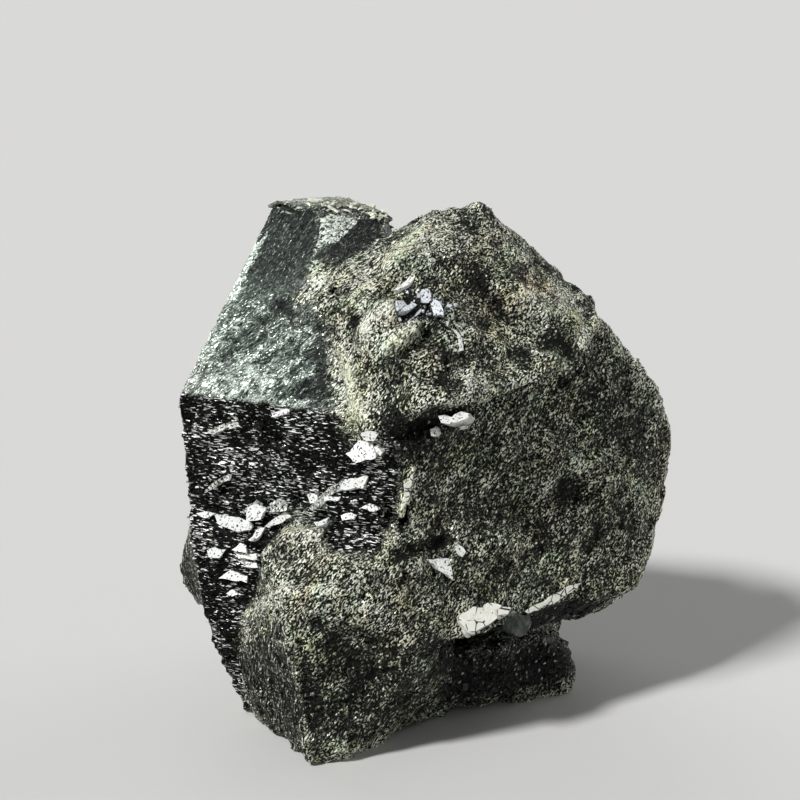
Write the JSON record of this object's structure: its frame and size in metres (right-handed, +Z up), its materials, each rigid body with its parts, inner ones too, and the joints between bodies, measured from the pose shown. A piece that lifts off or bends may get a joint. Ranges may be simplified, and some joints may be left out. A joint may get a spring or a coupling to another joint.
{
  "type": "skutterudite mineral specimen",
  "caption": "Free-standing lump of dark metallic skutterudite crystals grown together with grey granular ore, with a smooth slope over a ledge, a rough peak and a broad wall.",
  "frame": {"origin": "middle of the specimen's width and depth, on the ground plane that its feet stand on", "axes": "+Z up, +X to the right and +Y to the back as the specimen is seen from its crystal face"},
  "size_m": [0.056, 0.042, 0.0555],
  "materials": {
    "skutterudite": "rough with metallic crystal faces"
  },
  "bodies": {
    "root": {"skutterudite": "skutterudite"}
  },
  "joints": []
}
